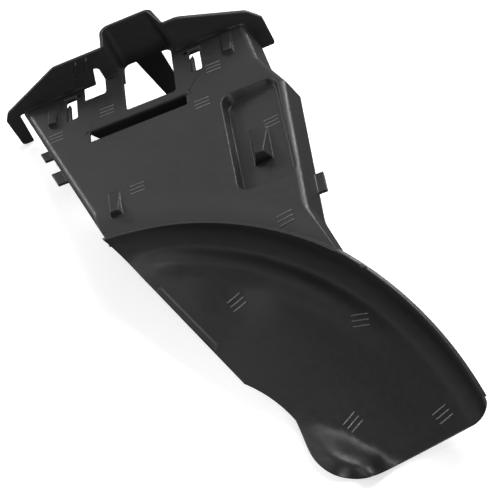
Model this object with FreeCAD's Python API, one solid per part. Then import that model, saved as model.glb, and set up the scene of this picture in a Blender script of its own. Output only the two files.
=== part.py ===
import FreeCAD, Part

# Mulch plug for a walk-behind mower, moulded in one piece.
# The plate closes the rear chute, the flange is the outside cover with its
# finger pocket, and the scoop carries on the round deck wall and ceiling.
#
# Plate frame, used for the plate and flange: X across, Y towards the flange,
# Z square to the plate's top skin, origin on the flange's inner face.
# Deck frame, used for the scoop: the plate frame turned about X by deck_slope.
# The finished part is turned once more, to lie as it comes to rest.

import math
import os

from FreeCAD import Vector

# Walls
wall = 3.2                      # sheet thickness of the moulding
skirt_depth = 29.0              # side walls, below the plate's top skin
skirt_flare = 7.0               # how far the right wall leans out at its foot
edge_round = 7.0                # outside radius between plate and side walls

# Plate
plate_back_left = 143.0
plate_back_right = 105.5
plate_front_left = 64.5
plate_left_length = 214.0
plate_neck_right = 113.0        # width on the right, part way down
plate_neck_length = 58.0
plate_right = 134.0             # width on the right, beside the sunk pad
plate_shoulder_length = 103.0
plate_waist_right = 130.0
plate_waist_length = 274.0
plate_end_right = 156.0
plate_end_run = 78.0            # from the waist to past the ridge
taper_start = 150.0
taper_end = 196.0
roll_width = 22.0               # the plate rolls down towards the ridge
roll_angle = 20.0
ridge_arc_radius = 318.0
ridge_arc_x = -102.0
ridge_top_y = -199.5            # the arc's nearest point to the flange

# Flange
flange_left = 163.0
flange_right = 126.0
flange_foot = 41.0              # below the plate's top skin
flange_left_top = 5.0
flange_chamfer_left = 89.0
flange_top = 36.5
flange_chamfer_right = 49.0
flange_right_top = 12.0
flange_corner = 8.0
flange_notch_left = 152.5       # between its two ears the flange stops at the plate
flange_notch_right = 72.0

# Finger pocket in the flange
pocket_left = 31.0
pocket_right = 32.5
pocket_right_back = 19.0
pocket_depth = 28.0
pocket_foot = 16.0              # lowest edge of the pocket's back, below the plate
pocket_round = 7.0
pocket_rise = 2.0               # the pocket's lip stands above the flange
tongue_left = 18.0
tongue_right = 11.0
tongue_tip_left = 7.0
tongue_length = 58.0            # from the pocket's lower edge to the tip

# Openings in the plate
hand_hole_left = 28.0
hand_hole_right = 26.6
hand_hole_length = 60.0
slot_left = 69.0
slot_right = 36.0
slot_start = 72.0
slot_width = 14.0
slot_wall_depth = 16.0
slot_lip = 1.6
corner_hole_left = 72.0
corner_hole_right = 47.5
corner_hole_length = 21.5
corner_hole_rise = 17.5
corner_hole_upright = 12.4      # width of its part in the flange
corner_hole_top = 52.5
hook_width = 12.0
hook_length = 30.5
hook_start = 12.0
hook_bar = 4.0
hook_finger = 4.6
hook_rise = 2.2
hook_left_x = -86.5
hook_right_x = 50.5

# Ribs on the flange beside the corner opening
rib_x = (-65.0, -53.3)          # at their upper ends
rib_lean = 7.2                  # how far their lower ends lie to the left
rib_width = 3.0
rib_reach = 3.4
rib_low = 14.5
rib_high = 33.0

# Locating ramps on the plate
ramp_length = 35.0
ramp_width = 12.0
ramp_top_width = 8.0
ramp_height = 5.5
ramp_left_x = -107.0
ramp_left_start = 7.0
ramp_right_x = 86.0
ramp_right_start = 1.0
ramp_front_x = -48.0
ramp_front_start = 168.0
ramp_front_length = 30.0
pad_ramp_x = 98.5
pad_ramp_start = 145.0
pad_ramp_length = 48.0
pad_ramp_width = 20.0
pad_ramp_top_width = 7.0

# Sunk pad
pad_left = 69.0
pad_right = 127.0
pad_start = 94.0
pad_end = 229.0
pad_depth = 12.5                # along the pad's left side
pad_tilt = 6.5                  # the floor climbs to the right
pad_corner = 12.0
pad_slope = 3.0

# Tabs on the side walls
tab_reach = 7.0
tab_thickness = 3.0
right_tab_start = 214.0
right_tab_length = 24.0
left_tab_start = 79.0
left_tab_length = 19.0
left_tab_reach = 11.5
left_catch_start = 43.0
left_catch_length = 13.5
left_catch_reach = 9.5

# Scoop, in the deck frame
deck_slope = 32.0
deck_wall_radius = 313.0
deck_wall_x = -87.5
deck_wall_top = -181.3          # the wall's nearest point to the flange
ceiling_height = 106.4
rim_height = 180.5
wall_draft = 5.0
foot_radius = 24.0
shelf_end = 43.0                # from the deck wall inwards
shelf_step = 3.2
crease_width = 9.0
scoop_reach = 164.0             # from the deck wall to past the inner edge
scoop_from = 6.0
scoop_to = 93.0

# Outline of the scoop seen along the deck's axis
chord_start_x = -71.0
chord_start_y = -174.0
chord_end_x = 20.9
chord_end_y = -355.0
hub_x = -61.0
hub_y = -453.0
hub_radius = 126.0
hub_arc_end = 24.0
nose_x = 66.0
nose_y = -476.0
nose_round = 48.0
heel_y = -450.0
heel_round = 27.0

# The rise towards the hub, near the nose
rise_height = 17.0
rise_width = 27.0
rise_start_x = 54.0
rise_start_y = -385.5
rise_heading = -42.6
rise_growth = 60.0

# Round pad of the ejector and the lip along the chord
dimple_x = 38.0
dimple_y = -287.0
dimple_radius = 38.0
dimple_depth = 2.8
lip_width = 5.5
lip_height = 2.4

# How the finished part lies on a flat floor
rest_tilt = -6.2
rest_roll = -13.0


def vec(x, y, z=0.0):
    return Vector(x, y, z)


def rounded(points):
    """Closed wire through (x, y, radius) corners, each turned with an arc."""
    corners = [vec(x, y) for x, y, r in points]
    count = len(points)
    entries, exits, middles = [], [], []
    for i in range(count):
        here = corners[i]
        back = (corners[i - 1] - here).normalize()
        on = (corners[(i + 1) % count] - here).normalize()
        half = back.getAngle(on) / 2
        radius = points[i][2]
        run = radius / math.tan(half)
        inward = (back + on).normalize()
        entries.append(here + back * run)
        exits.append(here + on * run)
        middles.append(here + inward * (radius / math.sin(half) - radius))
    edges = []
    for i in range(count):
        if points[i][2] > 0:
            edges.append(Part.Arc(entries[i], middles[i], exits[i]).toShape())
        edges.append(Part.LineSegment(exits[i], entries[(i + 1) % count]).toShape())
    return Part.Wire(edges)


def grown(points, by):
    """The same corners moved outwards by a distance, for an outline drawn clockwise or not."""
    count = len(points)
    area = sum(points[i - 1][0] * points[i][1] - points[i][0] * points[i - 1][1]
               for i in range(count))
    side = 1 if area > 0 else -1
    result = []
    for i in range(count):
        here = vec(points[i][0], points[i][1])
        back = here - vec(points[i - 1][0], points[i - 1][1])
        on = vec(points[(i + 1) % count][0], points[(i + 1) % count][1]) - here
        n1 = vec(back.y, -back.x).normalize() * side
        n2 = vec(on.y, -on.x).normalize() * side
        mitre = (n1 + n2) * (by / (1 + n1.dot(n2)))
        radius = points[i][2]
        turn = back.cross(on).z * side
        if radius > 0:
            radius = max(radius + (by if turn > 0 else -by), 0.3)
        result.append((here.x + mitre.x, here.y + mitre.y, radius))
    return result


def prism(wire, low, high):
    face = Part.Face(wire)
    face.translate(vec(0, 0, low))
    return face.extrude(vec(0, 0, high - low))


def box(x0, x1, y0, y1, z0, z1):
    return Part.makeBox(x1 - x0, y1 - y0, z1 - z0, vec(x0, y0, z0))


def upright(points, y0, y1):
    """A slab whose outline is drawn in X and Z, from y0 to y1."""
    slab = prism(rounded(points), -y1, -y0)
    slab.rotate(vec(0, 0, 0), vec(1, 0, 0), 90)
    return slab


def from_deck(shape):
    """Turns a shape from the deck frame into the plate frame."""
    shape.rotate(vec(0, 0, 0), vec(1, 0, 0), deck_slope)
    return shape


def plate_outline():
    back = 0.5 * wall
    end = plate_waist_length + plate_end_run
    return [
        (-plate_back_left, back, 0),
        (-plate_front_left, -plate_left_length, 3),
        (-plate_front_left - 8, -plate_left_length - 12, 2),
        (-plate_front_left, -end, 0),
        (plate_end_right + 8, -end - 6, 0),
        (plate_end_right - 12, -end + 22, 20),
        (plate_waist_right, -plate_waist_length, 40),
        (plate_right, -plate_shoulder_length, 9),
        (plate_neck_right, -plate_neck_length, 30),
        (plate_back_right, back, 0),
    ]


def skirted_block(inset, top):
    """The plate's outline as a block with a leaning right wall and a rounded upper edge.

    The inset block, which hollows the other, runs on past the flange, so no wall closes the back.
    """
    back = 20 if inset else 0
    outline = [(x, y + back if y > -5 else y, r) for x, y, r in grown(plate_outline(), -inset)]
    foot = [(x + skirt_flare if x > 0 else x, y, r) for x, y, r in outline]
    upper = rounded(outline)
    upper.translate(vec(0, 0, top))
    lower = rounded(foot)
    lower.translate(vec(0, 0, -skirt_depth - (1 if inset else 0)))
    block = Part.makeLoft([lower, upper], True, True)
    sides = []
    for edge in block.Edges:
        limits = edge.BoundBox
        level = abs(limits.ZMin - top) < 0.01 and abs(limits.ZMax - top) < 0.01
        at_back = limits.YMin > -1
        at_front = limits.YMax < -plate_waist_length - plate_end_run + 20 and limits.XLength > 100
        if level and not at_back and not at_front:
            sides.append(edge)
    return block.makeFillet(edge_round - inset, sides)


def roll_profile(drop, inner_run):
    """Edges of the plate's skin in (radius, z) about the ridge's centre, lowered by drop."""
    angle = math.radians(roll_angle)
    bend = roll_width / math.sin(angle)
    start = ridge_arc_radius + roll_width
    centre = vec(start, 0, -bend)
    reach = bend - drop

    def on_arc(a):
        return centre + vec(-math.sin(a) * reach, 0, math.cos(a) * reach)

    foot = on_arc(angle)
    inner = foot + vec(-math.cos(angle), 0, -math.sin(angle)) * inner_run
    far = vec(start + 500, 0, -drop)
    return far, on_arc(0), on_arc(angle / 2), foot, inner


def about_ridge(points_and_edges):
    face = Part.Face(Part.Wire(points_and_edges))
    centre = vec(ridge_arc_x, ridge_top_y - ridge_arc_radius, 0)
    face.translate(centre)
    return face.revolve(centre, vec(0, 0, 1), 360)


def below_skin(drop):
    """Everything under the plate's rolled top skin, lowered by drop."""
    far, crest, middle, foot, inner = roll_profile(drop, 14)
    low_in = vec(inner.x, 0, -200)
    low_out = vec(far.x, 0, -200)
    return about_ridge([
        Part.LineSegment(far, crest).toShape(),
        Part.Arc(crest, middle, foot).toShape(),
        Part.LineSegment(foot, inner).toShape(),
        Part.LineSegment(inner, low_in).toShape(),
        Part.LineSegment(low_in, low_out).toShape(),
        Part.LineSegment(low_out, far).toShape(),
    ])


def above_skin():
    """Everything over the plate's rolled top skin, to trim the scoop along the ridge."""
    far, crest, middle, foot, inner = roll_profile(0, 3)
    shoulder = vec(inner.x - 0.5, 0, 0)
    centre = vec(1, 0, 0)
    high_in = vec(1, 0, rim_height + 80)
    high_out = vec(far.x, 0, rim_height + 80)
    return about_ridge([
        Part.LineSegment(far, crest).toShape(),
        Part.Arc(crest, middle, foot).toShape(),
        Part.LineSegment(foot, inner).toShape(),
        Part.LineSegment(inner, shoulder).toShape(),
        Part.LineSegment(shoulder, centre).toShape(),
        Part.LineSegment(centre, high_in).toShape(),
        Part.LineSegment(high_in, high_out).toShape(),
        Part.LineSegment(high_out, far).toShape(),
    ])


def pad_cutter(out, depth, top):
    """The sunk pad's hollow, grown outwards by out, with drafted walls."""
    corners = [
        (pad_left, -pad_start, pad_corner),
        (pad_right, -pad_start, pad_corner),
        (pad_right + 1.5, -pad_end, pad_corner),
        (pad_left + 2.5, -pad_end, pad_corner),
    ]
    upper = rounded(grown(corners, out))
    upper.translate(vec(0, 0, top))
    lower = rounded(grown(corners, out - pad_slope))
    lower.translate(vec(0, 0, -depth))
    lower.rotate(vec(pad_left, 0, -depth), vec(0, 1, 0), -pad_tilt)
    return Part.makeLoft([lower, upper], True, True)


def plate_shell():
    outer = skirted_block(0, 0).common(below_skin(0))
    inner = skirted_block(wall, -wall).common(below_skin(wall))
    outer = outer.cut(pad_cutter(0, pad_depth, 0.01))
    inner = inner.cut(pad_cutter(wall, pad_depth + wall, 0.01))
    shell = outer.cut(inner)
    return shell.cut(left_wall_taper())


def left_wall_taper():
    """The left wall runs out towards the ridge."""
    face = Part.Face(Part.makePolygon([
        vec(-200, -taper_start, -skirt_depth - 1), vec(-200, -taper_end, -3 * wall),
        vec(-200, -taper_end - 60, -3 * wall), vec(-200, -taper_end - 60, -skirt_depth - 1),
        vec(-200, -taper_start, -skirt_depth - 1)]))
    return face.extrude(vec(200 - 0.5 * plate_front_left, 0, 0))


def flange_outline():
    foot, top = -flange_foot, flange_top
    return [
        (-flange_left, foot, 4),
        (flange_right + 0.5, foot + 2, 3),
        (flange_right, -2, flange_corner),
        (flange_right - 12, flange_right_top, 12),
        (flange_chamfer_right, top, 20),
        (-flange_chamfer_left, top, 14),
        (-flange_left + 6, flange_left_top, 10),
        (-flange_left, -4, 4),
    ]


def pocket_outline(out, low, high):
    return prism(rounded([
        (-pocket_left - out, -1 - out, 0),
        (pocket_right + out, -1 - out, 0),
        (pocket_right_back + out, pocket_depth + out, pocket_round + out),
        (-pocket_left - out, pocket_depth + out, pocket_round + out),
    ]), low, high)


def flange():
    slab = upright(flange_outline(), 0, wall)
    lip = flange_top + pocket_rise
    bowl = pocket_outline(wall, -pocket_foot, lip)
    bowl = bowl.cut(box(-200, 200, -20, 0, -100, 100))
    tongue_foot = -pocket_foot - tongue_length
    tongue = upright([
        (-tongue_left, -pocket_foot + 2, 0),
        (tongue_right, -pocket_foot + 2, 0),
        (tongue_right + 1, tongue_foot, 4),
        (-tongue_tip_left, tongue_foot, 4),
    ], pocket_depth, pocket_depth + wall)
    notch = upright([
        (-flange_notch_left, -flange_foot - 20, 0),
        (flange_notch_right, -flange_foot - 20, 0),
        (flange_notch_right, -wall, 6),
        (5 - flange_notch_left, -wall, 4),
    ], -1, wall)
    body = slab.cut(notch).fuse([bowl, tongue])
    return body.cut(pocket_outline(0, -pocket_foot - 1, lip + 1))


def opening_through_flange():
    """Upright part of the opening in the corner of plate and flange."""
    return upright([
        (-corner_hole_right - corner_hole_upright, -2 * wall, 0),
        (-corner_hole_right, -2 * wall, 0),
        (-corner_hole_right, corner_hole_rise - 3, 3),
        (-corner_hole_top, corner_hole_rise, 2),
    ], -1, wall + 1)


def openings_in_plate():
    hand = prism(rounded([
        (-hand_hole_left, wall + 1, 0),
        (hand_hole_right, wall + 1, 0),
        (hand_hole_right, -hand_hole_length, 4),
        (-hand_hole_left, -hand_hole_length, 4),
    ]), -20, 20)
    corner = prism(rounded([
        (-corner_hole_left, 0, 0),
        (-corner_hole_right, 0, 0),
        (-corner_hole_right, -corner_hole_length, 3),
        (-corner_hole_left, -corner_hole_length, 1),
    ]), -20, 20)
    slot = prism(rounded([
        (-slot_left, -slot_start, 2),
        (slot_right, -slot_start, 2),
        (slot_right, -slot_start - slot_width, 2),
        (-slot_left, -slot_start - slot_width, 2),
    ]), -20, 20)
    return [hand, corner, slot] + [hook_hole(x) for x in (hook_left_x, hook_right_x)]


def hook_hole(x):
    half = hook_width / 2
    return prism(rounded([
        (x - half, -hook_start, 2),
        (x + half, -hook_start, 2),
        (x + half, -hook_start - hook_length, 2),
        (x - half, -hook_start - hook_length, 2),
    ]), -20, 20)


def slot_wall():
    """Deep wall behind the long slot and its raised lip."""
    back = upright([
        (-slot_left, slot_lip, 0),
        (slot_right + wall, slot_lip, 0),
        (slot_right + wall, -slot_wall_depth, 0),
        (8 - slot_left, -slot_wall_depth, 0),
        (-slot_left, -wall, 0),
    ], -slot_start, -slot_start + wall)
    end = box(slot_right, slot_right + wall, -slot_start - slot_width, -slot_start,
              -slot_wall_depth, 0)
    back = back.makeFillet(slot_lip * 0.8, [e for e in back.Edges
                                            if e.BoundBox.ZMin > slot_lip - 0.01
                                            and e.BoundBox.XLength > 10])
    return back.fuse(end)


def hook(x):
    """Raised bar over the hook slot and the springy finger inside it."""
    half = hook_width / 2
    bar = box(x - half - 1, x + half + 1, -hook_start, -hook_start + hook_bar, -wall / 2, hook_rise)
    crown = [e for e in bar.Edges if e.BoundBox.ZMin > hook_rise - 0.1 and e.BoundBox.XLength > 5]
    bar = bar.makeFillet(0.6 * hook_rise, crown)
    foot = -hook_start - hook_length
    finger = upright([
        (x - half - 0.5, -wall - 1, 0),
        (x - half + hook_finger, -wall - 1, 0),
        (x - half + hook_finger, 0.8, 0),
        (x - half - 0.5, -wall + 0.5, 0),
    ], foot - 1, -hook_start - 7)
    return [bar, finger]


def ramp(x, start, base, length, width, top_width, height):
    """Locating ramp: low at the flange end, with a steep face at the far end."""
    low = 0.4
    sink = 0.6 * wall
    def section(y, h, narrow):
        half, top_half = width / 2, (width + (top_width - width) * narrow) / 2
        return Part.makePolygon([
            vec(x - half, y, base - sink), vec(x + half, y, base - sink),
            vec(x + top_half, y, base + h), vec(x - top_half, y, base + h),
            vec(x - half, y, base - sink)])
    near = section(-start, low, low / height)
    far = section(-start - length, height, 1)
    return Part.makeLoft([near, far], True, True)


def ramps():
    section = (ramp_width, ramp_top_width, ramp_height)
    pad_floor = -pad_depth + (pad_ramp_x - pad_left) * math.tan(math.radians(pad_tilt))
    return [
        ramp(ramp_left_x, ramp_left_start, 0, ramp_length, *section),
        ramp(ramp_right_x, ramp_right_start, 0, ramp_length, *section),
        ramp(ramp_front_x, ramp_front_start, 0, ramp_front_length, *section),
        ramp(pad_ramp_x, pad_ramp_start, pad_floor, pad_ramp_length,
             pad_ramp_width, pad_ramp_top_width, ramp_height - pad_floor),
    ]


def flange_ribs():
    half = rib_width / 2
    return [upright([
        (x - rib_lean - half, rib_low, 1),
        (x - rib_lean + half, rib_low, 1),
        (x + half, rib_high, 1),
        (x - half, rib_high, 1),
    ], -rib_reach, 0.5 * wall) for x in rib_x]


def side_tab(start, length, reach, side):
    """A flat tab on the foot of a side wall; side is 1 on the right, -1 on the left."""
    if side > 0:
        near = far = plate_right - 2 + skirt_flare
    else:
        lean = (plate_front_left - plate_back_left) / plate_left_length
        near = plate_back_left + lean * start
        far = near + lean * length
    return prism(rounded([
        (side * (near - wall), -start, 0),
        (side * (near + reach), -start, 1),
        (side * (far + reach), -start - length, 1),
        (side * (far - wall), -start - length, 0),
    ]), -skirt_depth, -skirt_depth + tab_thickness)


def deck_wall_y():
    return deck_wall_top - deck_wall_radius


def scoop_profile(t):
    """Distance in from the deck wall and height, along the scoop's section, t from 0 to 1."""
    top = rim_height + 8
    wall_run = top - ceiling_height - foot_radius
    arc_run = foot_radius * math.pi / 2
    flat_run = scoop_reach - wall_draft - foot_radius
    s = t * (wall_run + arc_run + flat_run)
    if s < wall_run:
        return wall_draft * s / wall_run, top - s
    s -= wall_run
    if s < arc_run:
        a = s / foot_radius
        return (wall_draft + foot_radius * (1 - math.cos(a)),
                ceiling_height + foot_radius * (1 - math.sin(a)))
    return wall_draft + foot_radius + s - arc_run, ceiling_height


def smooth(x):
    x = min(max(x, 0.0), 1.0)
    return x * x * (3 - 2 * x)


def scoop_relief(x, y, inwards, angle):
    """Height over the plain ceiling: shelf, dimple, and the rise at the nose."""
    shelf = shelf_step * smooth((inwards - 24) / 10) * (1 - smooth((inwards - shelf_end) / crease_width))
    shelf *= smooth((angle - 20) / 25) * (1 - smooth((angle - 75) / 4))
    dent = -dimple_depth * (1 - smooth(math.hypot(x - dimple_x, y - dimple_y) / dimple_radius))
    heading = math.radians(rise_heading)
    along = vec(math.cos(heading), math.sin(heading))
    across = vec(-along.y, along.x) * -1
    offset = vec(x - rise_start_x, y - rise_start_y)
    grow = smooth(offset.dot(along) / rise_growth)
    rise = rise_height * grow * smooth(offset.dot(across) / rise_width)
    return shelf + dent + rise


def scoop_point(t, angle):
    inwards, height = scoop_profile(t)
    r = deck_wall_radius - inwards
    a = math.radians(angle)
    x = deck_wall_x + r * math.cos(a)
    y = deck_wall_y() + r * math.sin(a)
    return vec(x, y, height + scoop_relief(x, y, inwards, angle))


def scoop_sheet():
    """The scoop as one sheet, its two skins drawn through points on the section."""
    rows, columns = 28, 13
    step = 1e-3
    upper, lower = [], []
    for i in range(rows + 1):
        upper_row, lower_row = [], []
        for j in range(columns + 1):
            t = i / rows
            angle = scoop_from + (scoop_to - scoop_from) * j / columns
            here = scoop_point(t, angle)
            ahead = scoop_point(min(t + step, 1), angle) - scoop_point(max(t - step, 0), angle)
            beside = scoop_point(t, angle + 0.1) - scoop_point(t, angle - 0.1)
            normal = ahead.cross(beside).normalize()
            if normal.z > 0:
                normal = normal * -1
            upper_row.append(here)
            lower_row.append(here + normal * wall)
        upper.append(upper_row)
        lower.append(lower_row)
    faces = []
    for grid in (upper, lower):
        skin = Part.BSplineSurface()
        skin.interpolate(grid)
        faces.append(skin.toShape())
    sides = [Part.makeRuledSurface(a, b) for a, b in zip(faces[0].Edges, faces[1].Edges)]
    shell = Part.Shell(faces + sides)
    shell.sewShape()
    solid = Part.Solid(shell)
    if solid.Volume < 0:
        solid.reverse()
    return solid


def scoop_cavity():
    """What the scoop hollows out of the plate: the section's middle line turned about the deck axis."""
    half = wall / 2
    top = rim_height + 60
    radius = foot_radius + half
    corner = vec(deck_wall_radius - wall_draft - foot_radius, 0, ceiling_height + foot_radius)
    low = corner + vec(0, 0, -radius)
    side = corner + vec(radius, 0, 0)
    middle = corner + vec(radius * math.cos(math.pi / 4), 0, -radius * math.sin(math.pi / 4))
    high = vec(deck_wall_radius + half, 0, top)
    axis_low = vec(0, 0, low.z)
    axis_high = vec(0, 0, top)
    face = Part.Face(Part.Wire([
        Part.LineSegment(axis_low, low).toShape(),
        Part.Arc(low, middle, side).toShape(),
        Part.LineSegment(side, high).toShape(),
        Part.LineSegment(high, axis_high).toShape(),
        Part.LineSegment(axis_high, axis_low).toShape(),
    ]))
    solid = face.revolve(vec(0, 0, 0), vec(0, 0, 1), 360)
    under = Part.makeCylinder(deck_wall_radius + half, ceiling_height + 100 - half, vec(0, 0, -100))
    solid = solid.fuse(under)
    solid.translate(vec(deck_wall_x, deck_wall_y(), 0))
    return from_deck(solid)


def on_circle(x, y, radius, degrees):
    a = math.radians(degrees)
    return vec(x + radius * math.cos(a), y + radius * math.sin(a))


def scoop_trim():
    """The scoop's outline, seen along the deck's axis: chord, hub arc, nose and heel."""
    start = vec(chord_start_x, chord_start_y)
    end = vec(chord_end_x, chord_end_y)
    chord_angle = math.degrees(math.atan2(end.y - hub_y, end.x - hub_x))
    arrive, middle, leave = [on_circle(hub_x, hub_y, hub_radius, a) for a in (
        chord_angle, (chord_angle + hub_arc_end) / 2, hub_arc_end)]
    nose = vec(nose_x, nose_y)
    outside = deck_wall_radius + wall + 0.5
    heel_angle = math.degrees(math.asin((heel_y - deck_wall_y()) / outside))
    heel, side, far = [on_circle(deck_wall_x, deck_wall_y(), outside, a) for a in (
        heel_angle, (heel_angle + scoop_to) / 2, scoop_to)]
    top = vec(chord_start_x - 6, chord_start_y + 10)
    block = Part.Face(Part.Wire([
        Part.LineSegment(top, start).toShape(),
        Part.LineSegment(start, arrive).toShape(),
        Part.Arc(arrive, middle, leave).toShape(),
        Part.LineSegment(leave, nose).toShape(),
        Part.LineSegment(nose, heel).toShape(),
        Part.Arc(heel, side, far).toShape(),
        Part.LineSegment(far, top).toShape(),
    ])).extrude(vec(0, 0, rim_height))

    def uprights_at(corner):
        return [edge for edge in block.Edges if edge.BoundBox.ZLength > rim_height / 2
                and math.hypot(edge.BoundBox.XMin - corner.x, edge.BoundBox.YMin - corner.y) < 1]

    block = block.makeFillet(nose_round, uprights_at(nose))
    return block.makeFillet(heel_round, uprights_at(heel))


def chord_lip():
    """Low lip along the scoop's straight left edge."""
    start = vec(chord_start_x, chord_start_y)
    end = vec(chord_end_x, chord_end_y)
    along = (end - start).normalize()
    side = vec(-along.y, along.x)
    length = (end - start).Length
    a = start + along * (length * 0.42)
    b = start + along * (length * 0.80)
    face = Part.Face(Part.makePolygon([a, b, b + side * lip_width, a + side * lip_width, a]))
    lip = face.extrude(vec(0, 0, lip_height + wall * 0.8))
    lip.translate(vec(0, 0, ceiling_height - wall * 0.8))
    return lip


def scoop():
    sheet = scoop_sheet().common(scoop_trim())
    sheet = sheet.fuse(chord_lip())
    return from_deck(sheet).cut(above_skin())


def mulch_plug():
    body = plate_shell().fuse([flange(), slot_wall()] + flange_ribs() + ramps())
    body = body.cut(openings_in_plate() + [opening_through_flange()])
    for x in (hook_left_x, hook_right_x):
        body = body.fuse(hook(x))
    body = body.fuse([side_tab(right_tab_start, right_tab_length, tab_reach, 1),
                      side_tab(left_tab_start, left_tab_length, left_tab_reach, -1),
                      side_tab(left_catch_start, left_catch_length, left_catch_reach, -1)])
    body = body.cut(scoop_cavity())
    body = body.fuse(scoop())
    return body.removeSplitter()


def laid_to_rest(shape):
    """Turns the part to lie as it rests, its lowest point on the floor and its middle at the origin."""
    shape.rotate(vec(0, 0, 0), vec(1, 0, 0), rest_tilt)
    shape.rotate(vec(0, 0, 0), vec(0, 1, 0), rest_roll)
    points, facets = shape.copy().tessellate(0.1)
    xs = [p.x for p in points]
    ys = [p.y for p in points]
    shape.translate(vec(-(min(xs) + max(xs)) / 2, -(min(ys) + max(ys)) / 2, -min(p.z for p in points)))
    return shape


def main():
    os.makedirs("parts", exist_ok=True)
    part = laid_to_rest(mulch_plug())
    print("solids", len(part.Solids), "valid", part.isValid(), "volume", round(part.Volume))
    part.exportStep("parts/mulch_plug.step")


main()
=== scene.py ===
"""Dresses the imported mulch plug: moulding, ejector marks, rim lip, gutter, studio."""

import math

import bmesh
import bpy
from mathutils import Matrix, Vector
from mathutils.bvhtree import BVHTree


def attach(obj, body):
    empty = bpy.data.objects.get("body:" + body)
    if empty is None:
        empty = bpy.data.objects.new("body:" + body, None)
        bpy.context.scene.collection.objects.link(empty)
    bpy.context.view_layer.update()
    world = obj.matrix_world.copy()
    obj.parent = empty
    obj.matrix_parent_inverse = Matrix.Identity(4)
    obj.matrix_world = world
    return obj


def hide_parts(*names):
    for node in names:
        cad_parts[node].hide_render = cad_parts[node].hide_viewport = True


bl_info = {
    "name": "Mower mulch plug",
    "version": (1, 0, 0),
    "blender": (4, 5, 0),
    "location": "View3D > Sidebar > Mulch Plug",
    "description": "Finishes the packed mulch plug and sets up its studio",
    "category": "Object",
}

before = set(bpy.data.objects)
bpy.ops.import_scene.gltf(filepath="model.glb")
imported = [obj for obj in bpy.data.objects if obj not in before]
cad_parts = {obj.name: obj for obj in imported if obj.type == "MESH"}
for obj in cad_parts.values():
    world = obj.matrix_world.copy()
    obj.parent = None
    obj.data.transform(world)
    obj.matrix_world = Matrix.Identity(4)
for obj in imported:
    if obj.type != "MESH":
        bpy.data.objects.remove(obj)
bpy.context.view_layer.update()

MM = 0.001
NODE = "mulch_plug"

# How the part lies: the plate's own frame (X across, Y towards the flange, Z
# off the plate, origin where the flange meets it) in the frame's axes.
REST_TILT = math.radians(-6.2)
REST_ROLL = math.radians(-13.0)
PLATE_ORIGIN = Vector((-36.483, 220.933, 76.273)) * MM
DECK_SLOPE = math.radians(32.0)

PLATE = (Matrix.Translation(PLATE_ORIGIN) @ Matrix.Rotation(REST_ROLL, 4, "Y")
         @ Matrix.Rotation(REST_TILT, 4, "X"))
DECK = PLATE @ Matrix.Rotation(DECK_SLOPE, 4, "X")

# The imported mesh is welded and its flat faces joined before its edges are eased.
# A point that easing moves further than this share of its width goes back.
WELD_DISTANCE = 0.000004
FLAT_ANGLE = math.radians(0.5)
EASE_SEGMENTS = 2
STRAY_SHARE = 0.7
FACE_WEIGHT = 80
SKIN_SMOOTH = math.radians(60)
MARK_SMOOTH = math.radians(40)
SHEET_SMOOTH = math.radians(30)

# Noises of the plastic: its grain, its slow flow shade and its uneven gloss.
GRAIN = {"Scale": 1500.0, "Detail": 3.0, "Roughness": 0.6}
CLOUD = {"Scale": 14.0, "Detail": 4.0, "Roughness": 0.55}
SCUFF = {"Scale": 160.0, "Detail": 6.0, "Roughness": 0.7}
FLOW_SHADE = {"From Min": 0.3, "From Max": 0.7, "To Min": 0.86, "To Max": 1.14}
GLOSS_LESS, GLOSS_MORE = 0.05, 0.06
EDGE_RADIUS, EDGE_SAMPLES = 0.0022, 8
GRAIN_BUMP = {"Strength": 0.22, "Distance": 0.00006}
FLOW_BUMP = {"Strength": 0.35, "Distance": 0.0009}
PLASTIC = {"IOR": 1.49, "Specular IOR Level": 0.5}

# Sockets of a colour Mix node, which share their names with its other kinds.
MIX_FACTOR, MIX_A, MIX_B, MIX_RESULT = 0, 6, 7, 2

# The floor's tone where it lights the part, and where the camera sees it.
FLOOR_UNSEEN, FLOOR_SEEN = 0.12, 0.8

# The photograph's viewpoint, in millimetres in the plate's frame.
CAMERA_PLACE = Vector((299.4, -1125.2, 850.0))
CAMERA_RIGHT = Vector((0.9212, -0.1261, -0.3681))
CAMERA_UP = Vector((0.3406, 0.7187, 0.6062))
CAMERA_LENS = 100.8
CAMERA_SENSOR = 36.0
CAMERA_NEAR, CAMERA_FAR = 0.05, 30.0

# Lamps: name, place, what it points at, size and power.
LAMPS = (
    ("back lamp", (0.71, 0.71, 1.61), (0, 0, 0.05), (1.0, 1.0), 32.0),
    ("edge lamp", (1.2, 1.44, 0.62), (0, 0, 0.1), (0.5, 0.5), 14.0),
    ("crown lamp", (-1.0, 0.55, 1.65), (0, 0, 0.1), (0.6, 0.6), 2.0),
    ("line lamp", (-1.33, -0.48, 1.42), (0, 0, 0.1), (0.3, 0.3), 3.0),
    ("left lamp", (-1.4, 1.3, 0.5), (0, 0, 0.1), (0.4, 0.4), 9.0),
    ("low lamp", (-1.95, 0.4, 0.25), (0, 0, 0.1), (0.6, 0.4), 12.0),
    ("front lamp", (0.5, -1.85, 0.6), (0, 0, 0.1), (0.8, 0.4), 20.0),
    ("far lamp", (-0.6, 1.6, 1.2), (0, 0, 0.1), (2.2, 1.5), 4.0),
)

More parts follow.
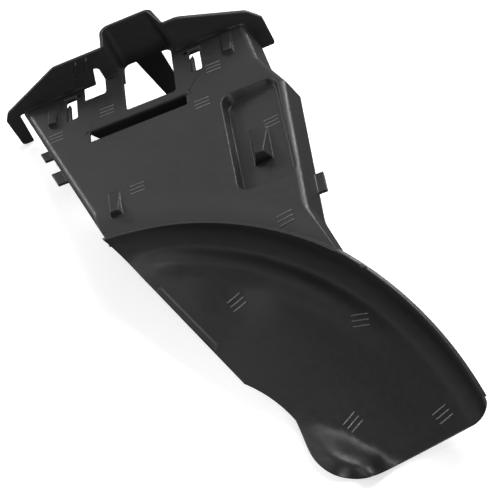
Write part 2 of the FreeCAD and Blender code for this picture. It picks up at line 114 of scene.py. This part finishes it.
# Ejector marks: across and along in millimetres, and how far they are turned.
PLATE_MARKS = (
    (-105.6, -60.0, 0.0),
    (-48.3, -50.0, 0.0),
    (-24.9, -174.0, 0.0),
    (50.8, -92.8, 0.0),
    (67.7, -47.4, 0.0),
    (112.6, -146.5, 0.0),
    (108.0, -276.4, 0.0),
)
SCOOP_MARKS = (
    (35.4, -284.0, 20.0),
    (137.0, -337.0, -11.0),
    (102.0, -419.0, 30.0),
    (178.0, -437.0, 21.0),
)
MARK_ROWS = (-1, 0, 1)
MARK_PARTS = 8
MARK_ROUND = 0.45
MARK_ROUND_SEGMENTS = 3
DROP_HEIGHT = 0.16

# The scoop's rim in the deck's frame, in millimetres and degrees.
RIM_X, RIM_Y = -87.5, -494.3
RIM_INNER, RIM_OUTER = 312.4, 315.9
RIM_TOP = 180.5
RIM_FROM, RIM_TO = 10.2, 42.0
RIM_FADE = 2.5
RIM_STEPS = 72

# The ridge's arc in the plate's frame, and the gutter at its left end.
RIDGE_X, RIDGE_Y = -102.0, -517.5
RIDGE_RADIUS = 318.0
ROLL_ANGLE = math.radians(20.0)
ROLL_DROP = 3.88
GUTTER_FROM, GUTTER_TO = -62.5, 8.0
GUTTER_OUTER = 305.8
GUTTER_INNER = 297.6
GUTTER_SPREAD = 0.085
GUTTER_RINGS = 4


def at(matrix, x, y, z=0.0):
    """A point given in millimetres in one of the part's own frames."""
    return matrix @ (Vector((x, y, z)) * MM)


def deselect():
    if bpy.context.mode != "OBJECT":
        bpy.ops.object.mode_set(mode="OBJECT")
    bpy.ops.object.select_all(action="DESELECT")


def only(obj):
    deselect()
    obj.select_set(True)
    bpy.context.view_layer.objects.active = obj


def edit_all():
    """Opens the active mesh for editing with all of it selected."""
    bpy.ops.object.mode_set(mode="EDIT")
    bpy.ops.mesh.select_all(action="SELECT")


def leave_edit():
    bpy.ops.object.mode_set(mode="OBJECT")


def place_in_mesh(obj):
    only(obj)
    bpy.ops.object.transform_apply(location=True, rotation=True, scale=True)


def apply_modifier(obj, kind, **values):
    only(obj)
    modifier = obj.modifiers.new(kind.title(), kind)
    for key, value in values.items():
        setattr(modifier, key, value)
    bpy.ops.object.modifier_apply(modifier=modifier.name)


class Nodes:
    """Builds a material's node tree."""

    def __init__(self, name):
        self.material = bpy.data.materials.new(name)
        self.material.use_nodes = True
        self.tree = self.material.node_tree
        self.tree.nodes.clear()

    def add(self, kind, values=None, **options):
        node = self.tree.nodes.new(kind)
        for key, value in options.items():
            setattr(node, key, value)
        for key, value in (values or {}).items():
            node.inputs[key].default_value = value
        return node

    def join(self, source, output, target, entry):
        self.tree.links.new(source.outputs[output], target.inputs[entry])


def moulded_plastic(name, tint, roughness):
    """Black moulding: a fine even grain, faint flow shade and a satin gloss."""
    m = Nodes(name)
    place = m.add("ShaderNodeTexCoord")
    grain = m.add("ShaderNodeTexNoise", GRAIN)
    cloud = m.add("ShaderNodeTexNoise", CLOUD)
    scuff = m.add("ShaderNodeTexNoise", SCUFF)
    for texture in (grain, cloud, scuff):
        m.join(place, "Object", texture, "Vector")

    shade = m.add("ShaderNodeMapRange", FLOW_SHADE)
    m.join(cloud, "Fac", shade, "Value")
    colour = m.add("ShaderNodeMix", {MIX_A: (*tint, 1.0)}, data_type="RGBA",
                   blend_type="MULTIPLY")
    colour.inputs[MIX_FACTOR].default_value = 1.0
    m.join(shade, "Result", colour, MIX_B)

    gloss = m.add("ShaderNodeMapRange", {"From Min": 0.35, "From Max": 0.65,
                                         "To Min": roughness - GLOSS_LESS,
                                         "To Max": roughness + GLOSS_MORE})
    m.join(scuff, "Fac", gloss, "Value")

    eased = m.add("ShaderNodeBevel", {"Radius": EDGE_RADIUS}, samples=EDGE_SAMPLES)
    bump = m.add("ShaderNodeBump", GRAIN_BUMP)
    m.join(eased, "Normal", bump, "Normal")
    m.join(grain, "Fac", bump, "Height")
    waves = m.add("ShaderNodeBump", FLOW_BUMP)
    m.join(cloud, "Fac", waves, "Height")
    m.join(bump, "Normal", waves, "Normal")

    surface = m.add("ShaderNodeBsdfPrincipled", PLASTIC)
    m.join(colour, MIX_RESULT, surface, "Base Color")
    m.join(gloss, "Result", surface, "Roughness")
    m.join(waves, "Normal", surface, "Normal")
    out = m.add("ShaderNodeOutputMaterial")
    m.join(surface, "BSDF", out, "Surface")
    return m.material


def pale_floor(settings):
    """A matt floor: white where the camera sees it, dull where it lights the part."""
    m = Nodes("pale floor")
    seen = m.add("ShaderNodeLightPath")
    either = m.add("ShaderNodeMath", operation="MAXIMUM")
    m.join(seen, "Is Camera Ray", either, 0)
    m.join(seen, "Is Transmission Ray", either, 1)
    lift = m.add("ShaderNodeMath", {1: settings.floor_lift}, operation="MULTIPLY")
    m.join(either, "Value", lift, 0)
    tone = m.add("ShaderNodeMapRange", {"To Min": FLOOR_UNSEEN, "To Max": FLOOR_SEEN})
    m.join(either, "Value", tone, "Value")
    paint = m.add("ShaderNodeBsdfDiffuse")
    m.join(tone, "Result", paint, "Color")
    glow = m.add("ShaderNodeEmission", {"Color": (1.0, 1.0, 1.0, 1.0)})
    m.join(lift, "Value", glow, "Strength")
    both = m.add("ShaderNodeAddShader")
    m.join(paint, "BSDF", both, 0)
    m.join(glow, "Emission", both, 1)
    out = m.add("ShaderNodeOutputMaterial")
    m.join(both, "Shader", out, "Surface")
    return m.material


class PlugMouldingSettings(bpy.types.PropertyGroup):
    colour: bpy.props.FloatVectorProperty(
        name="Colour", description="Base colour of the moulding", subtype="COLOR",
        size=3, min=0.0, max=1.0, default=(0.0125, 0.0125, 0.0135))
    roughness: bpy.props.FloatProperty(
        name="Roughness", description="Mean roughness of the skin", min=0.0, max=1.0,
        default=0.42)
    edge_width: bpy.props.FloatProperty(
        name="Edge width", description="How far the moulding's edges are eased",
        unit="LENGTH", min=0.0, default=0.0003)
    sharp_angle: bpy.props.FloatProperty(
        name="Sharp angle", description="Edges that turn further than this are eased",
        subtype="ANGLE", default=math.radians(32.0))


class PlugMarkSettings(bpy.types.PropertyGroup):
    length: bpy.props.FloatProperty(
        name="Length", description="Length of each raised line", unit="LENGTH",
        default=0.0155)
    width: bpy.props.FloatProperty(
        name="Width", description="Width of each raised line", unit="LENGTH",
        default=0.0013)
    height: bpy.props.FloatProperty(
        name="Height", description="How far a line stands out of the skin",
        unit="LENGTH", default=0.0006)
    pitch: bpy.props.FloatProperty(
        name="Pitch", description="Distance from line to line", unit="LENGTH",
        default=0.0050)
    # The lines' colour is lighter than the moulding's as a painted highlight along the
    # raised marks.
    colour: bpy.props.FloatVectorProperty(
        name="Colour", description="Base colour of the highlight-painted lines", subtype="COLOR",
        size=3, min=0.0, max=1.0, default=(0.12, 0.12, 0.12))
    roughness: bpy.props.FloatProperty(
        name="Roughness", description="Mean roughness of the highlight-painted lines", min=0.0,
        max=1.0, default=0.35)


class PlugRimSettings(bpy.types.PropertyGroup):
    rise: bpy.props.FloatProperty(
        name="Rise", description="How far the lip's inner edge stands over the rim",
        unit="LENGTH", default=0.0017)
    depth: bpy.props.FloatProperty(
        name="Depth", description="How far the lip reaches down into the rim's wall",
        unit="LENGTH", default=0.0025)


class PlugGutterSettings(bpy.types.PropertyGroup):
    thickness: bpy.props.FloatProperty(
        name="Thickness", description="Thickness of the gutter's sheet", unit="LENGTH",
        default=0.0026)
    steps: bpy.props.IntProperty(
        name="Steps", description="Pieces along the gutter", min=4, default=36)


class PlugStudioSettings(bpy.types.PropertyGroup):
    floor_size: bpy.props.FloatProperty(
        name="Floor size", description="Side of the square floor", unit="LENGTH",
        default=12.0)
    floor_lift: bpy.props.FloatProperty(
        name="Floor lift", description="Light that the floor adds where it is seen",
        min=0.0, default=0.5)
    world_strength: bpy.props.FloatProperty(
        name="World strength", description="Level of the even light all round",
        min=0.0, default=0.19)


def pull_strays_back(skin, source, width):
    """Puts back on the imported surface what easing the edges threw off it."""
    tree = BVHTree.FromPolygons([vertex.co[:] for vertex in source.data.vertices],
                                [face.vertices[:] for face in source.data.polygons])
    for vertex in skin.data.vertices:
        hit, normal, index, distance = tree.find_nearest(vertex.co)
        if distance > STRAY_SHARE * width:
            vertex.co = hit


class MULCHPLUG_OT_moulding(bpy.types.Operator):
    """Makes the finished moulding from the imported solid: welded, eased and smooth"""
    bl_idname = "mulchplug.moulding"
    bl_label = "Moulding"

    def execute(self, context):
        settings = context.scene.plug_moulding
        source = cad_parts[NODE]
        mesh = source.data.copy()
        skin = bpy.data.objects.new("moulding_skin", mesh)
        context.scene.collection.objects.link(skin)
        only(skin)
        mesh.materials.clear()
        edit_all()
        bpy.ops.mesh.remove_doubles(threshold=WELD_DISTANCE)
        bpy.ops.mesh.customdata_custom_splitnormals_clear()
        bpy.ops.mesh.dissolve_limited(angle_limit=FLAT_ANGLE)
        leave_edit()
        apply_modifier(skin, "BEVEL", width=settings.edge_width, segments=EASE_SEGMENTS,
                       limit_method="ANGLE", angle_limit=settings.sharp_angle,
                       use_clamp_overlap=False)
        pull_strays_back(skin, source, settings.edge_width)
        bpy.ops.object.shade_smooth_by_angle(angle=SKIN_SMOOTH)
        apply_modifier(skin, "WEIGHTED_NORMAL", mode="FACE_AREA", weight=FACE_WEIGHT,
                       keep_sharp=True)
        skin.data.materials.append(moulded_plastic(
            "black moulded plastic", settings.colour, settings.roughness))
        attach(skin, "root")
        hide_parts(NODE)
        return {"FINISHED"}


def skin_tree():
    skin = bpy.data.objects["moulding_skin"]
    mesh = bmesh.new()
    mesh.from_mesh(skin.data)
    tree = BVHTree.FromBMesh(mesh)
    mesh.free()
    return tree


def lay_on_skin(obj, tree, matrix, x, y, turn):
    """Drops a flat piece on to the skin, each of its points following the skin."""
    local = (matrix @ Matrix.Translation(Vector((x, y, 0)) * MM)
             @ Matrix.Rotation(turn, 4, "Z"))
    down = (matrix.to_3x3() @ Vector((0, 0, -1))).normalized()
    for vertex in obj.data.vertices:
        above = local @ Vector((vertex.co.x, vertex.co.y, DROP_HEIGHT))
        hit, normal, index, distance = tree.ray_cast(above, down)
        if hit is None:
            raise RuntimeError("an ejector mark lies off the moulding")
        vertex.co = hit + normal * vertex.co.z


class MULCHPLUG_OT_marks(bpy.types.Operator):
    """Adds the ejector marks: groups of short raised lines on plate and scoop, lighter
    in colour as a painted highlight
    """
    bl_idname = "mulchplug.marks"
    bl_label = "Ejector Marks"

    def execute(self, context):
        settings = context.scene.plug_marks
        tree = skin_tree()
        # Painted highlight: the marks get a lighter colour than the moulding, standing
        # in for light caught by their raised lines.
        material = moulded_plastic("highlight-painted mark", settings.colour, settings.roughness)
        deselect()
        bpy.ops.mesh.primitive_cube_add(size=1.0)
        line = context.active_object
        line.scale = (settings.length, settings.width, 2 * settings.height)
        place_in_mesh(line)
        edit_all()
        bpy.ops.mesh.bevel(offset=MARK_ROUND * settings.width,
                           segments=MARK_ROUND_SEGMENTS, affect="EDGES",
                           clamp_overlap=True)
        leave_edit()
        for part in range(1, MARK_PARTS):
            edit_all()
            bpy.ops.mesh.bisect(
                plane_co=(settings.length * (part / MARK_PARTS - 0.5), 0, 0),
                plane_no=(1, 0, 0))
            leave_edit()
        groups = [(PLATE, *mark) for mark in PLATE_MARKS]
        groups += [(DECK, *mark) for mark in SCOOP_MARKS]
        for number, (matrix, x, y, turn) in enumerate(groups):
            lines = []
            for row in MARK_ROWS:
                copy = bpy.data.objects.new("line", line.data.copy())
                context.scene.collection.objects.link(copy)
                for vertex in copy.data.vertices:
                    vertex.co.y += row * settings.pitch
                lay_on_skin(copy, tree, matrix, x, y, math.radians(turn))
                lines.append(copy)
            deselect()
            for copy in lines:
                copy.select_set(True)
            context.view_layer.objects.active = lines[0]
            bpy.ops.object.join()
            mark = context.active_object
            mark.name = "ejector_mark_%02d" % (number + 1)
            bpy.ops.object.shade_smooth_by_angle(angle=MARK_SMOOTH)
            mark.data.materials.append(material)
            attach(mark, "root")
        bpy.data.objects.remove(line)
        return {"FINISHED"}


def rim_section(rise, depth):
    """The lip's outline, as radius and height: its sloped top, then down and back."""
    return (
        (RIM_INNER + 0.1, RIM_TOP + 0.7 * rise),
        (RIM_INNER + 0.6, RIM_TOP + rise),
        (RIM_OUTER - 0.2, RIM_TOP + 0.1),
        (RIM_OUTER, RIM_TOP - 0.5),
        (RIM_OUTER - 0.2, RIM_TOP - depth),
        (RIM_INNER + 0.2, RIM_TOP - depth),
    )


class MULCHPLUG_OT_rim(bpy.types.Operator):
    """Adds the narrow sloped lip on top of the scoop's rim, faded down at its ends"""
    bl_idname = "mulchplug.rim"
    bl_label = "Rim Lip"

    def execute(self, context):
        settings = context.scene.plug_rim
        skin = bpy.data.objects["moulding_skin"]
        section = rim_section(1000 * settings.rise, 1000 * settings.depth)
        mesh = bpy.data.meshes.new("rim_lip")
        start = math.radians(RIM_FROM)
        mesh.from_pydata(
            [(r * MM * math.cos(start), r * MM * math.sin(start), z * MM)
             for r, z in section],
            [(i, (i + 1) % len(section)) for i in range(len(section))], [])
        lip = bpy.data.objects.new("rim_lip", mesh)
        context.scene.collection.objects.link(lip)
        apply_modifier(lip, "SCREW", angle=math.radians(RIM_TO - RIM_FROM),
                       steps=RIM_STEPS, axis="Z", use_smooth_shade=False)
        edit_all()
        bpy.ops.mesh.fill_holes(sides=len(section))
        bpy.ops.mesh.normals_make_consistent(inside=False)
        leave_edit()
        for vertex in lip.data.vertices:
            angle = math.degrees(math.atan2(vertex.co.y, vertex.co.x))
            ends = min(angle - RIM_FROM, RIM_TO - angle) / RIM_FADE
            vertex.co.z -= max(0.0, 1.0 - ends) ** 2 * settings.rise
        lip.data.transform(Matrix.Translation(Vector((RIM_X, RIM_Y, 0)) * MM))
        lip.data.transform(DECK)
        bpy.ops.object.shade_smooth_by_angle(angle=SHEET_SMOOTH)
        lip.data.materials.append(skin.data.materials[0])
        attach(lip, "root")
        return {"FINISHED"}


def gutter_grid(steps):
    """Points and faces of a sheet that falls from the roll's foot to the scoop."""
    points = []
    for i in range(steps + 1):
        x = GUTTER_FROM + (GUTTER_TO - GUTTER_FROM) * i / steps
        inner = GUTTER_INNER + (x - GUTTER_FROM) * GUTTER_SPREAD
        for j in range(GUTTER_RINGS + 1):
            r = GUTTER_OUTER + (inner - GUTTER_OUTER) * j / GUTTER_RINGS
            y = RIDGE_Y + math.sqrt(r * r - (x - RIDGE_X) ** 2)
            z = -ROLL_DROP - (RIDGE_RADIUS - r) * math.tan(ROLL_ANGLE)
            points.append(at(PLATE, x, y, z))
    faces = []
    for i in range(steps):
        for j in range(GUTTER_RINGS):
            near = i * (GUTTER_RINGS + 1) + j
            far = near + GUTTER_RINGS + 1
            faces.append((near, near + 1, far + 1, far))
    return points, faces


class MULCHPLUG_OT_gutter(bpy.types.Operator):
    """Carries the plate's rolled front on to the foot of the scoop's wall"""
    bl_idname = "mulchplug.gutter"
    bl_label = "Ridge Gutter"

    def execute(self, context):
        settings = context.scene.plug_gutter
        points, faces = gutter_grid(settings.steps)
        mesh = bpy.data.meshes.new("ridge_gutter")
        mesh.from_pydata(points, [], faces)
        gutter = bpy.data.objects.new("ridge_gutter", mesh)
        context.scene.collection.objects.link(gutter)
        if mesh.polygons[0].normal.z < 0:
            mesh.flip_normals()
        apply_modifier(gutter, "SOLIDIFY", thickness=settings.thickness, offset=-1.0)
        bpy.ops.object.shade_smooth_by_angle(angle=SHEET_SMOOTH)
        skin = bpy.data.objects["moulding_skin"]
        gutter.data.materials.append(skin.data.materials[0])
        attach(gutter, "root")
        return {"FINISHED"}


def soft_lamp(name, place, target, size, power):
    lamp = bpy.data.lights.new(name, "AREA")
    lamp.shape = "RECTANGLE"
    lamp.size, lamp.size_y = size
    lamp.energy = power
    obj = bpy.data.objects.new(name, lamp)
    obj.location = place
    obj.rotation_mode = "QUATERNION"
    aim = Vector(target) - Vector(place)
    obj.rotation_quaternion = aim.to_track_quat("-Z", "Y")
    bpy.context.scene.collection.objects.link(obj)


class MULCHPLUG_OT_studio(bpy.types.Operator):
    """Sets up the floor, the lamps, the even light all round and the camera"""
    bl_idname = "mulchplug.studio"
    bl_label = "Studio"

    def execute(self, context):
        settings = context.scene.plug_studio
        scene = context.scene
        deselect()
        bpy.ops.mesh.primitive_plane_add(size=settings.floor_size)
        floor = context.active_object
        floor.name = "floor"
        floor.data.materials.append(pale_floor(settings))

        for lamp in LAMPS:
            soft_lamp(*lamp)

        world = bpy.data.worlds.new("studio")
        world.use_nodes = True
        back = world.node_tree.nodes["Background"]
        back.inputs["Color"].default_value = (1.0, 1.0, 1.0, 1.0)
        back.inputs["Strength"].default_value = settings.world_strength
        scene.world = world

        camera = bpy.data.cameras.new("camera")
        camera.lens = CAMERA_LENS
        camera.sensor_width = CAMERA_SENSOR
        camera.clip_start, camera.clip_end = CAMERA_NEAR, CAMERA_FAR
        eye = bpy.data.objects.new("camera", camera)
        scene.collection.objects.link(eye)
        axes = Matrix((CAMERA_RIGHT, CAMERA_UP, CAMERA_RIGHT.cross(CAMERA_UP)))
        turn = PLATE.to_3x3() @ axes.transposed()
        eye.matrix_world = (Matrix.Translation(at(PLATE, *CAMERA_PLACE))
                            @ turn.normalized().to_4x4())
        scene.camera = eye
        scene.view_settings.view_transform = "Standard"
        return {"FINISHED"}


class MULCHPLUG_PT_panel(bpy.types.Panel):
    """Lists the plug's pieces and its studio"""
    bl_idname = "MULCHPLUG_PT_panel"
    bl_label = "Mulch Plug"
    bl_space_type = "VIEW_3D"
    bl_region_type = "UI"
    bl_category = "Mulch Plug"

    def draw(self, context):
        column = self.layout.column()
        for settings, names, operator in (
            (context.scene.plug_moulding, ("colour", "roughness", "sharp_angle"),
             "mulchplug.moulding"),
            (context.scene.plug_marks,
             ("length", "width", "height", "pitch", "colour", "roughness"),
             "mulchplug.marks"),
            (context.scene.plug_rim, ("rise", "depth"), "mulchplug.rim"),
            (context.scene.plug_gutter, ("thickness", "steps"), "mulchplug.gutter"),
            (context.scene.plug_studio, ("floor_size", "floor_lift", "world_strength"),
             "mulchplug.studio"),
        ):
            for name in names:
                column.prop(settings, name)
            column.operator(operator)


CLASSES = (
    PlugMouldingSettings,
    PlugMarkSettings,
    PlugRimSettings,
    PlugGutterSettings,
    PlugStudioSettings,
    MULCHPLUG_OT_moulding,
    MULCHPLUG_OT_marks,
    MULCHPLUG_OT_rim,
    MULCHPLUG_OT_gutter,
    MULCHPLUG_OT_studio,
    MULCHPLUG_PT_panel,
)


def register():
    for item in CLASSES:
        bpy.utils.register_class(item)
    bpy.types.Scene.plug_moulding = bpy.props.PointerProperty(type=PlugMouldingSettings)
    bpy.types.Scene.plug_marks = bpy.props.PointerProperty(type=PlugMarkSettings)
    bpy.types.Scene.plug_rim = bpy.props.PointerProperty(type=PlugRimSettings)
    bpy.types.Scene.plug_gutter = bpy.props.PointerProperty(type=PlugGutterSettings)
    bpy.types.Scene.plug_studio = bpy.props.PointerProperty(type=PlugStudioSettings)


def unregister():
    del bpy.types.Scene.plug_studio
    del bpy.types.Scene.plug_gutter
    del bpy.types.Scene.plug_rim
    del bpy.types.Scene.plug_marks
    del bpy.types.Scene.plug_moulding
    for item in reversed(CLASSES):
        bpy.utils.unregister_class(item)


def main():
    register()
    bpy.ops.mulchplug.studio()
    bpy.ops.mulchplug.moulding()
    bpy.ops.mulchplug.marks()
    bpy.ops.mulchplug.rim()
    bpy.ops.mulchplug.gutter()


if __name__ == "__main__":
    main()
